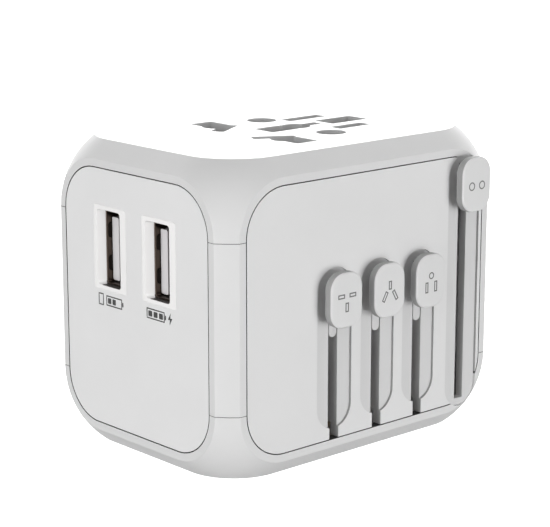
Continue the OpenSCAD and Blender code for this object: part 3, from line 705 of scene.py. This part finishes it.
def slider_panel():
    """Panel with the four tracks and slots; the European track's floor passes its outline."""
    plate = panel_plate("slider_face", 0, HALF.y, LONG_PANEL)
    boolean(plate, [track_prism(k, -TRACK_D, 1.0) for k in SLIDERS])
    boolean(plate, [track_prism("eu", -WALL + 0.05, -TRACK_D + 0.01, 0.02)], "UNION")
    boolean(plate, [slot_cutter(k) for k in SLIDERS])
    soften(plate, SEAM_EDGE)
    finish_piece(plate, PANEL_WHITE, CASE, ["slider_panel"])
    # Painted shade: the panel's edge in the parting line is painted near black
    paint_faces(plate, SEAM_AND_INSIDE_SHADE, side_test(0, HALF.y, LONG_PANEL, -0.15, 0.15))
    # Painted shade: the track floors take the darker white
    paint_faces(plate, TRACK_SHADE_WHITE, track_floor_test)
    # Painted shade: the tracks' side walls are painted dark grey
    paint_faces(plate, TRACK_WALL_SHADE, track_wall_test)
    # Painted shade: the slots' long walls are painted grey
    paint_faces(plate, SLOT_WALL_SHADE, slot_wall_test)


def plain_panel(name, azimuth, reach, size):
    plate = panel_plate(name + "_face", azimuth, reach, size)
    soften(plate, 0.08)
    finish_piece(plate, PANEL_WHITE, CASE, [name])
    # Painted shade: the panel's edge in the parting line is painted near black
    paint_faces(plate, SEAM_AND_INSIDE_SHADE, side_test(azimuth, reach, size, -0.15, 0.15))


# Sizes of a USB port as seen from outside: width, height and corner radius
BEZEL = (9.2, 15.3, 0.5)
MOUTH = (5.8, 13.8, 0.6)
LEAD = (5.8, 13.7, 0.6)
PORT_SHELL = (5.7, 13.7, 0.6)
PORT_BORE = (5.1, 13.1, 0.35)
TONGUE = (1.9, 11.5, 0.3)
TONGUE_BASE = (5.0, 12.4, 0.3)
CONTACT = (0.12, 1.1, 0.05)
SPRING_TAB = (1.2, 2.9, 0.55)
# Depths behind the side's face, and places across the port
BEZEL_DEPTH = 3.4
SHELL_SETBACK = 1.3
TONGUE_SETBACK = 2.4
TONGUE_X = -1.45
TONGUE_DROP = -0.5
CONTACT_STEP = 2.3


def port_centre(key):
    """Middle of a port in the plane of its side."""
    low, high = node_box("usb_bezel_" + key)
    middle = (low + high) / 2
    return -middle.y, middle.z - MID_Z


def usb_panel():
    plate = panel_plate("usb_face", -90, HALF.x, SHORT_PANEL)
    boolean(plate, [prism("hole", rounded_outline(*BEZEL), -1, 4,
                          side_place(-90, HALF.x - WALL, *port_centre(k))) for k in "ab"])
    soften(plate, SEAM_EDGE)
    # Painted light: the USB end's panel takes the brighter copy of the panel white
    finish_piece(plate, USB_PANEL_LIT_WHITE, CASE, ["usb_panel"])
    # Painted shade: the panel's edge in the parting line is painted near black
    paint_faces(plate, SEAM_AND_INSIDE_SHADE, side_test(-90, HALF.x, SHORT_PANEL, -0.15, 0.15))


def bezel_lead(place):
    """Sloping lead-in on the long side of a port's mouth that faces away from the slider side."""
    bm = bmesh.new()
    loft(bm, [[Vector((x + shift, y, z)) for x, y in rounded_outline(*LEAD)]
              for z, shift in ((-1.4, 0.07), (0.3, -1.1))])
    bm.transform(place)
    return mesh_object("lead", bm)


def usb_bezel(key, place):
    """White frame round a port's mouth."""
    bezel = prism("usb_frame_" + key, rounded_outline(*BEZEL), -BEZEL_DEPTH, 0.0, place)
    boolean(bezel, [prism("hole", rounded_outline(*MOUTH), -5, 1, place), bezel_lead(place)])
    soften(bezel, 0.15, 3)
    finish_piece(bezel, BEZEL_WHITE, CASE, ["usb_bezel_" + key])
    to_port = place.inverted()

    def mouth_end_test(centre, normal):
        """True for the two short walls of the mouth, but not for the lead-in's."""
        x, y, depth = to_port @ centre
        return (abs(normal.x) < 0.3 and abs(y) > 6.35 and depth < -0.14
                and abs(rounded_distance(x, y, *MOUTH)) < 0.03)

    # Painted shade: the mouth's short walls are painted near black
    paint_faces(bezel, MOUTH_END_SHADE, mouth_end_test)


def usb_port(key):
    """Bezel, metal shell with its spring tabs, tongue and contacts."""
    place = side_place(-90, HALF.x, *port_centre(key))
    usb_bezel(key, place)
    back = -node_box("usb_shell_" + key)[1].x - HALF.x
    tube = prism("usb_tube_" + key, rounded_outline(*PORT_SHELL), back, -SHELL_SETBACK, place)
    boolean(tube, [prism("hole", rounded_outline(*PORT_BORE), back - 1, 1, place)])
    soften(tube, 0.08)
    # Painted shade: the port's metal shell is darkened
    finish_piece(tube, PORT_STEEL_SHADE, CASE, ["usb_shell_" + key])
    for i, y in enumerate((2.9, -3.1)):
        on_wall = place @ Matrix.Translation((-PORT_BORE[0] / 2 - 0.05, y, -2.25))
        tab = prism(f"usb_spring_{key}{i}", rounded_outline(*SPRING_TAB, 6), 0, 0.2,
                    on_wall @ Matrix.Rotation(math.pi / 2, 4, "Y"))
        soften(tab, 0.08)
        # Painted shade: the spring tab is painted near black
        finish_piece(tab, PORT_TAB_SHADE, CASE)
    middle = place @ Matrix.Translation((TONGUE_X, TONGUE_DROP, 0))
    tongue = prism("usb_blade_" + key, rounded_outline(*TONGUE, 4), back + 0.2, -TONGUE_SETBACK,
                   middle)
    base = prism("base", rounded_outline(*TONGUE_BASE, 4), back + 0.1, back + 3.1, place)
    boolean(tongue, [base], "UNION")
    soften(tongue, 0.15)
    finish_piece(tongue, TONGUE_WHITE, CASE, ["usb_tongue_" + key])
    for i in range(4):
        on_tongue = middle @ Matrix.Translation((TONGUE[0] / 2 + 0.05, (i - 1.5) * CONTACT_STEP, 0))
        strip = prism(f"usb_contact_{key}{i}", rounded_outline(*CONTACT, 2), back + 3.3, -3.4,
                      on_tongue)
        soften(strip, 0.0)
        finish_piece(strip, GOLD, CASE)


# ---- pictograms ----
STROKE = 0.22
# An upright stroke stops just inside the strokes above and below it
UPRIGHT_CUT = 1.98 * STROKE
MARK_PROUD = 0.02


def placed_rect(w, h, x=0.0, y=0.0, angle=0.0, radius=0.15):
    """Rounded bar for a pictogram, in the face's own plane."""
    turn = math.radians(angle)
    return [(x + px * math.cos(turn) - py * math.sin(turn),
             y + px * math.sin(turn) + py * math.cos(turn))
            for px, py in rounded_outline(w, h, min(radius, w / 2.01, h / 2.01), 4)]


def open_bar(w, h, x, y, angle=0.0, radius=0.02):
    """Outline of a rectangle: four thin strokes."""
    turn = Matrix.Rotation(math.radians(angle), 2)
    rise, side = (h - STROKE) / 2, (w - STROKE) / 2
    upright = h - UPRIGHT_CUT
    strokes = []
    for dx, dy, sw, sh in ((0, rise, w, STROKE), (0, -rise, w, STROKE),
                           (side, 0, STROKE, upright), (-side, 0, STROKE, upright)):
        across, up = turn @ Vector((dx, dy))
        strokes.append(placed_rect(sw, sh, x + across, y + up, angle, radius))
    return strokes


def open_dot(r, x, y, steps=20):
    """Outline of a round pin: two half rings."""
    rings = []
    for start in (0, math.pi):
        angles = [start + math.pi * i / steps for i in range(steps + 1)]
        rings.append([(x + q * math.cos(a), y + q * math.sin(a))
                      for q, way in ((r, angles), (r - STROKE, angles[::-1])) for a in way])
    return rings


# Generic pin patterns, drawn on the knobs in place of lettering
PATTERNS = {
    "uk": (open_bar(0.8, 1.7, 0, -1.05) + open_bar(1.6, 0.8, -1.35, 1.0)
           + open_bar(1.6, 0.8, 1.35, 1.0)),
    "aus": (open_bar(0.75, 2.0, -1.25, -0.8, -30) + open_bar(0.75, 2.0, 1.25, -0.8, 30)
            + open_bar(0.75, 1.6, 0, 1.15)),
    "us": (open_bar(0.75, 2.0, -1.15, -0.9) + open_bar(0.75, 2.0, 1.15, -0.9)
           + open_dot(0.65, 0, 1.2)),
    "eu": open_dot(0.8, -1.35, 0) + open_dot(0.8, 1.35, 0),
}


def marks(name, outlines, place, material, body):
    """Thin inlays that stand a hair proud of a face."""
    bm = bmesh.new()
    for outline in outlines:
        loft(bm, [[Vector((x, y, z)) for x, y in outline] for z in (-0.1, MARK_PROUD)])
    bm.transform(place)
    obj = mesh_object(name, bm)
    soften(obj, 0.0)
    finish_piece(obj, material, body)


def battery(x, y, w, h, cells):
    """Open rectangle with a pole at its right end and some of its three cells filled."""
    bars = open_bar(w, h, x, y, radius=0.15)
    bars.append(placed_rect(0.3, h * 0.45, x + w / 2 + STROKE, y))
    left = x - w / 2 + 1.3 * STROKE
    step = (w - 2.6 * STROKE) / 3
    for i in range(cells):
        bars.append(placed_rect(step * 0.72, h - 4 * STROKE, left + step * (i + 0.5), y))
    return bars


def bolt(x, y, size):
    corners = ((0.15, 1.0), (-0.55, -0.15), (-0.05, -0.15), (-0.15, -1.0), (0.55, 0.15),
               (0.05, 0.15))
    return [[(x + size * px, y + size * py) for px, py in corners]]


# Generic pictograms under the ports: a fast charge, and a phone beside its battery
PORT_PATTERNS = {
    "a": battery(-1.1, 0, 5.0, 1.9, 3) + bolt(2.9, 0, 1.1),
    "b": open_bar(1.5, 2.2, -2.9, 0, radius=0.15) + battery(0.9, 0, 4.6, 1.9, 2),
}
# Height of the pictograms' middle above the body's
PORT_MARK_RISE = -0.2


def port_marks():
    """The pictogram under each port."""
    for key, outlines in PORT_PATTERNS.items():
        place = side_place(-90, HALF.x, port_centre(key)[0], PORT_MARK_RISE)
        marks("port_mark_" + key, outlines, place, MARK_DARK, CASE)


# ---- sliders ----
KNOB_W = 7.6
KNOB_H = 9.9
EU_KNOB_H = 10.1
KNOB_R = 3.0
KNOB_DEPTH = 1.7
STEM_W = 1.8
# Half the height of the stem that joins a knob to its carriage
STEM_HALF = 3.0
EU_STEM_HALF = 3.5
# The tab that runs on down the slot: how far it overlaps the stem, and its end's radius
TAB_LAP = 1.6
TAB_R = 0.85
MARK_RISE = -0.2


def knob(key):
    """Cap, stem with its tab, and pictogram of one slider."""
    body = key + "_slider"
    low, high = node_box(key + "_knob")
    x, top = knob_place(key)
    height, stem_half = (EU_KNOB_H, EU_STEM_HALF) if key == "eu" else (KNOB_H, STEM_HALF)
    rise = top - MID_Z - height / 2
    place = side_place(0, -low.y, x, rise)
    cap = prism(key + "_cap", rounded_outline(KNOB_W, height, KNOB_R, 16), -KNOB_DEPTH, 0.0, place)
    soften(cap, 0.38, 4)
    finish_piece(cap, KNOB_WHITE, body, [key + "_knob"])
    # Painted shade: the cap's side walls are painted darker grey
    paint_faces(cap, KNOB_SIDE_SHADE, lambda centre, normal: abs(normal.y) < 0.3)
    stem_low, stem_high = MID_Z + rise - stem_half, MID_Z + rise + stem_half
    stem = block(key + "_stem", (x - STEM_W / 2, low.y + KNOB_DEPTH - 0.1, stem_low),
                 (x + STEM_W / 2, high.y, stem_high))
    if low.z < MID_Z + rise - height / 2 - 0.5:
        tab_top = stem_low + TAB_LAP
        tab = prism("tab", rounded_outline(STEM_W, tab_top - low.z, TAB_R, 8), -2.2, -TRACK_D,
                    side_place(0, HALF.y, x, (low.z + tab_top) / 2 - MID_Z))
        boolean(stem, [tab], "UNION")
    soften(stem, 0.1)
    # Painted shade: the stem and its tab take the darker track white
    finish_piece(stem, TRACK_SHADE_WHITE, body)
    # Painted shade: the stem's sides are painted near black
    paint_faces(stem, STEM_SIDE_SHADE, lambda centre, normal: abs(normal.y) < 0.5
                and centre.z > stem_low - 0.2)
    mark_place = place @ Matrix.Translation((0, MARK_RISE, 0))
    marks(key + "_mark", PATTERNS[key], mark_place, MARK_GREY, body)


def bevelled_copy(name, width, material, body, segments=2):
    """A CAD node's own shape with rounded edges and a finish."""
    source = frame["nodes"][name]
    obj = link(bpy.data.objects.new(name + "_body", source.data.copy()))
    soften(obj, width, segments)
    finish_piece(obj, material, body, [name])


def tapered_pin(name, outline, tip, shoulder, heights, place):
    """Pin that narrows below its shoulder to a share of its width each way at the tip."""
    low, high = heights
    bm = bmesh.new()
    loft(bm, [[Vector((x * sx, y * sy, z)) for x, y in outline]
              for sx, sy, z in ((*tip, low), (1, 1, low + shoulder), (1, 1, high))])
    bm.transform(place)
    return mesh_object(name, bm)


def pin_sleeve(name, outlines, heights, place, material, body):
    """Insulating sleeve between an outer and an inner outline."""
    outer, inner = outlines
    sleeve = prism(name, outer, *heights, place)
    boolean(sleeve, [prism("hole", inner, 0, 60, place)])
    soften(sleeve, 0.0)
    finish_piece(sleeve, material, body)


def uk_pins():
    low, high = node_box("uk_pins")
    for i, (x, y, sx, sy, _) in enumerate(pin_places("uk")):
        place = Matrix.Translation((x, y, 0))
        pin = tapered_pin(f"uk_pin_{i}", rounded_outline(sx, sy, 0.35, 4), (0.62, 0.75), 1.6,
                          (low.z, high.z), place)
        soften(pin, 0.2, 3, 20)
        finish_piece(pin, BRASS, "uk_slider", ["uk_pins"] if i == 0 else ())
        if i < 2:
            outlines = (rounded_outline(sx + 0.16, sy + 0.16, 0.4, 4),
                        rounded_outline(sx + 0.01, sy + 0.01, 0.35, 4))
            pin_sleeve(f"uk_pin_sleeve_{i}", outlines, (high.z - 9.0, high.z - 0.05), place,
                       CAN_BLACK, "uk_slider")


def flat_pins(key):
    """Australian or American blades; the American ones have a hole near the tip."""
    low, high = node_box(key + "_pins")
    for i, (x, y, sx, sy, angle) in enumerate(pin_places(key)):
        place = Matrix.Translation((x, y, 0)) @ Matrix.Rotation(math.radians(angle), 4, "Z")
        pin = tapered_pin(f"{key}_pin_{i}", rounded_outline(sx, sy, 0.25, 4), (0.8, 0.45), 1.4,
                          (low.z, high.z), place)
        if key == "us":
            across = Matrix.Translation((0, 0, low.z + 3.4)) @ Matrix.Rotation(math.pi / 2, 4, "X")
            boolean(pin, [prism("hole", circle_outline(1.6, 40), -2, 2, place @ across)])
        soften(pin, 0.15, 3, 20)
        finish_piece(pin, BRASS, key + "_slider", [key + "_pins"] if i == 0 else ())


def eu_pins():
    low, high = node_box("eu_pins")
    sleeve_low, sleeve_high = low.z + 9.0, low.z + 19.0
    for i, (x, y, size, _, _) in enumerate(pin_places("eu")):
        r = size / 2
        place = Matrix.Translation((x, y, 0))
        rises = [math.pi / 2 * k / 8 for k in range(1, 9)]
        rings = [(r * math.sin(a), low.z + r - r * math.cos(a)) for a in rises]
        rings += [(r, sleeve_low), (r, high.z)]
        bm = bmesh.new()
        loft(bm, [[Vector((px, py, z)) for px, py in circle_outline(q, 48)] for q, z in rings])
        bm.transform(place)
        pin = mesh_object(f"eu_pin_{i}", bm)
        soften(pin, 0.0)
        finish_piece(pin, NICKEL, "eu_slider", ["eu_pins"] if i == 0 else ())
        outlines = circle_outline(r + 0.08, 48), circle_outline(r + 0.01, 48)
        # Painted shade: the sleeves take the carriages' darkened white
        pin_sleeve(f"eu_pin_sleeve_{i}", outlines, (sleeve_low, sleeve_high), place,
                   CARRIAGE_SHADE_WHITE, "eu_slider")


# ---- inside ----
def usb_board():
    """Circuit board with a row of chips."""
    low, high = node_box("usb_board")
    board = block("board", low, high)
    soften(board, 0.1)
    finish_piece(board, BOARD_GREEN, CASE, ["usb_board"])
    for i in range(6):
        y = low.y + 3.4 + i * 6.0
        chip = block(f"chip_{i}", (high.x + 0.01, y - 1.5, high.z - 4.6),
                     (high.x + 1.2, y + 1.5, high.z - 2.2))
        soften(chip, 0.1)
        finish_piece(chip, FERRITE, CASE)


SPRING_R = 0.9
WIRE_R = 0.12


def coil(name, centre, axis, length, turns, replaces):
    """Helical spring at rest along an axis; the real shutter squashes it towards its fixed end."""
    steps, sides = 18, 6
    radius = SPRING_R - 0.13
    across = Vector((0, 0, 1))
    other = axis.cross(across)
    rings = []
    for k in range(turns * steps + 1):
        t = k / (turns * steps)
        a = 2 * math.pi * turns * t
        out = across * math.cos(a) + other * math.sin(a)
        point = centre + axis * (length * t) + out * radius
        rings.append([point + (out * math.cos(b) + axis * math.sin(b)) * WIRE_R
                      for b in (2 * math.pi * s / sides for s in range(sides))])
    bm = bmesh.new()
    loft(bm, rings)
    spring = mesh_object(name, bm)
    soften(spring, 0.0)
    finish_piece(spring, ZINC, CASE, replaces)
    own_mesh(spring)


def springs():
    low, high = node_box("uk_shutter_springs")
    for i, y in enumerate((low.y + SPRING_R, high.y - SPRING_R)):
        coil(f"uk_spring_{i}", Vector((low.x, y, (low.z + high.z) / 2)), Vector((1, 0, 0)),
             high.x - low.x, 11, ["uk_shutter_springs"] if i == 0 else ())
    for key, sign in (("live", 1), ("neutral", -1)):
        low, high = node_box(key + "_shutter_spring")
        fixed = high.y if sign > 0 else low.y
        coil(key + "_spring", Vector(((low.x + high.x) / 2, fixed, (low.z + high.z) / 2)),
             Vector((0, -sign, 0)), high.y - low.y, 9, [key + "_shutter_spring"])


def inside_parts():
    """Inner nodes that keep the CAD's shape."""
    bevelled_copy("chassis_deck", 0.15, DECK_GREY, CASE)
    bevelled_copy("case_screws", 0.08, ZINC, CASE)
    bevelled_copy("transformer", 0.2, TAPE_YELLOW, CASE)
    bevelled_copy("capacitor", 0.4, CAN_BLACK, CASE, 3)
    bevelled_copy("contact_holder", 0.12, HOLDER_IVORY, CASE)
    for key in ("live", "neutral", "earth"):
        bevelled_copy(key + "_contact", 0.08, BRASS, CASE)
    bevelled_copy("fuse", 0.15, CERAMIC, CASE)
    bevelled_copy("fuse_clips", 0.06, NICKEL, CASE)
    for key in ("uk", "live", "neutral"):
        bevelled_copy(key + "_shutter", 0.12, SHUTTER_GREY, key + "_shutter_body")
    for key in ("uk", "aus", "us"):
        # Painted shade: the carriages and the collar take the darkened white
        bevelled_copy(key + "_carriage", 0.15, CARRIAGE_SHADE_WHITE, key + "_slider")
    bevelled_copy("eu_collar", 0.2, CARRIAGE_SHADE_WHITE, "eu_slider")


def build():
    top_shell()
    bottom_shell()
    mid_frame()
    socket_plate()
    slider_panel()
    usb_panel()
    plain_panel("rear_panel", 180, HALF.y, LONG_PANEL)
    plain_panel("end_panel", 90, HALF.x, SHORT_PANEL)
    for key in "ab":
        usb_port(key)
    port_marks()
    for key in SLIDERS:
        knob(key)
    uk_pins()
    flat_pins("aus")
    flat_pins("us")
    eu_pins()
    usb_board()
    inside_parts()
    springs()


# ---- studio ----
STUDIO_R = 4000
# Strength of the world's light from below, level with the object and from above
DOME = (0.15, 0.05, 0.42)
# Azimuth, elevation, inner and outer half-angle, strength
LOBES = ((12, -8, 4, 27, 5.8), (-95, -8, 6, 36, 3.65), (-45, 35, 10, 40, 0.3),
         (135, 10, 20, 60, 2.2))
# Distance of the lamps from the origin and their side, in metres
LAMP_REACH = 0.9
LAMP_SIZE = 0.3
# Camera: azimuth and elevation, lens, distance, and its shift right and up, in millimetres
VIEW = (-42.02, 13.13)
LENS = 122.58
SENSOR_W = 36.0
VIEW_DISTANCE = 350.4
VIEW_RIGHT, VIEW_UP = -0.446, 2.633


def lowest_reach():
    """Height that the longest pins come down to, so that the floor is clear of them."""
    return min(node_box(key + "_pins")[0].z - TRAVEL[key + "_slide"] for key in SLIDERS)


def backdrop():
    """White floor and dome that only the camera sees, so they give no bounce and no shadow."""
    material, nodes, _ = new_material("studio_white")
    shader = nodes["Principled BSDF"]
    shader.inputs["Base Color"].default_value = (0.9, 0.9, 0.9, 1)
    shader.inputs["Roughness"].default_value = 0.9
    shader.inputs["Emission Color"].default_value = (1, 1, 1, 1)
    shader.inputs["Emission Strength"].default_value = 1.0
    flat = bmesh.new()
    bmesh.ops.create_grid(flat, x_segments=4, y_segments=4, size=STUDIO_R)
    flat.transform(Matrix.Translation((0, 0, lowest_reach() - 0.5)))
    dome = bmesh.new()
    bmesh.ops.create_uvsphere(dome, u_segments=48, v_segments=24, radius=STUDIO_R * 0.95)
    for name, bm in (("studio_floor", flat), ("studio_dome", dome)):
        obj = mesh_object(name, bm)
        obj.data.materials.append(material)
        obj.visible_diffuse = False
        obj.visible_glossy = False
        obj.visible_shadow = False


def direction(azimuth, elevation):
    """Unit vector; azimuth 0 is -Y and 90 is +X."""
    a, e = math.radians(azimuth), math.radians(elevation)
    return Vector((math.sin(a) * math.cos(e), -math.cos(a) * math.cos(e), math.sin(e)))


def world_light(below, level, above, lobes):
    """Soft studio light: a level that changes with height, and lobes that stand for softboxes.

    Each lobe is its azimuth, elevation, the half-angles where it starts and ends, and its strength.
    """
    world = bpy.data.worlds.new("studio")
    bpy.context.scene.world = world
    world.use_nodes = True
    nodes, links = world.node_tree.nodes, world.node_tree.links
    place = nodes.new("ShaderNodeTexCoord")
    split = nodes.new("ShaderNodeSeparateXYZ")
    links.new(place.outputs["Generated"], split.inputs["Vector"])

    def ramp(socket, start, end, low, high):
        step = nodes.new("ShaderNodeMapRange")
        step.interpolation_type = "SMOOTHSTEP"
        for name, value in (("From Min", start), ("From Max", end),
                            ("To Min", low), ("To Max", high)):
            step.inputs[name].default_value = value
        links.new(socket, step.inputs["Value"])
        return step.outputs["Result"]

    def add(first, second):
        total = nodes.new("ShaderNodeMath")
        links.new(first, total.inputs[0])
        links.new(second, total.inputs[1])
        return total.outputs["Value"]

    height = split.outputs["Z"]
    light = add(ramp(height, -0.5, 0.0, below, level),
                ramp(height, 0.0, 0.7, 0.0, above - level))
    for azimuth, elevation, inner, outer, strength in lobes:
        facing = nodes.new("ShaderNodeVectorMath")
        facing.operation = "DOT_PRODUCT"
        facing.inputs[1].default_value = direction(azimuth, elevation)
        links.new(place.outputs["Generated"], facing.inputs[0])
        light = add(light, ramp(facing.outputs["Value"], math.cos(math.radians(outer)),
                                math.cos(math.radians(inner)), 0.0, strength))
    nodes["Background"].inputs["Color"].default_value = (1, 1, 1, 1)
    links.new(light, nodes["Background"].inputs["Strength"])


def softbox(name, azimuth, elevation, energy, receivers):
    """Square area lamp that points at the origin and lights only the named pieces."""
    data = bpy.data.lights.new(name, "AREA")
    data.size = LAMP_SIZE
    data.energy = energy
    lamp = link(bpy.data.objects.new(name, data))
    lamp.location = direction(azimuth, elevation) * LAMP_REACH
    lamp.rotation_mode = "QUATERNION"
    lamp.rotation_quaternion = (-lamp.location).to_track_quat("-Z", "Y")
    lit = bpy.data.collections.new(name + "_lit")
    for receiver in receivers:
        lit.objects.link(bpy.data.objects[receiver])
    lamp.light_linking.receiver_collection = lit


def camera():
    """Product view over the corner between the USB end and the slider side."""
    data = bpy.data.cameras.new("camera")
    data.sensor_width = SENSOR_W
    data.lens = LENS
    data.clip_start, data.clip_end = 0.01, 20
    cam = link(bpy.data.objects.new("camera", data))
    back = direction(*VIEW)
    right = direction(VIEW[0] + 90, 0)
    up = back.cross(right)
    cam.rotation_mode = "QUATERNION"
    cam.rotation_quaternion = (-back).to_track_quat("-Z", "Y")
    centre = Vector((0, 0, MID_Z))
    cam.location = (centre + back * VIEW_DISTANCE + right * VIEW_RIGHT + up * VIEW_UP) * MM
    bpy.context.scene.camera = cam


build()
backdrop()
world_light(*DOME, LOBES)
softbox("overhead", 0, 90, 2.6, ["socket_face"])
softbox("port_fill", -45, 10, 4.2, ["usb_frame_a", "usb_frame_b"])
camera()
bpy.context.scene.view_settings.view_transform = "Standard"
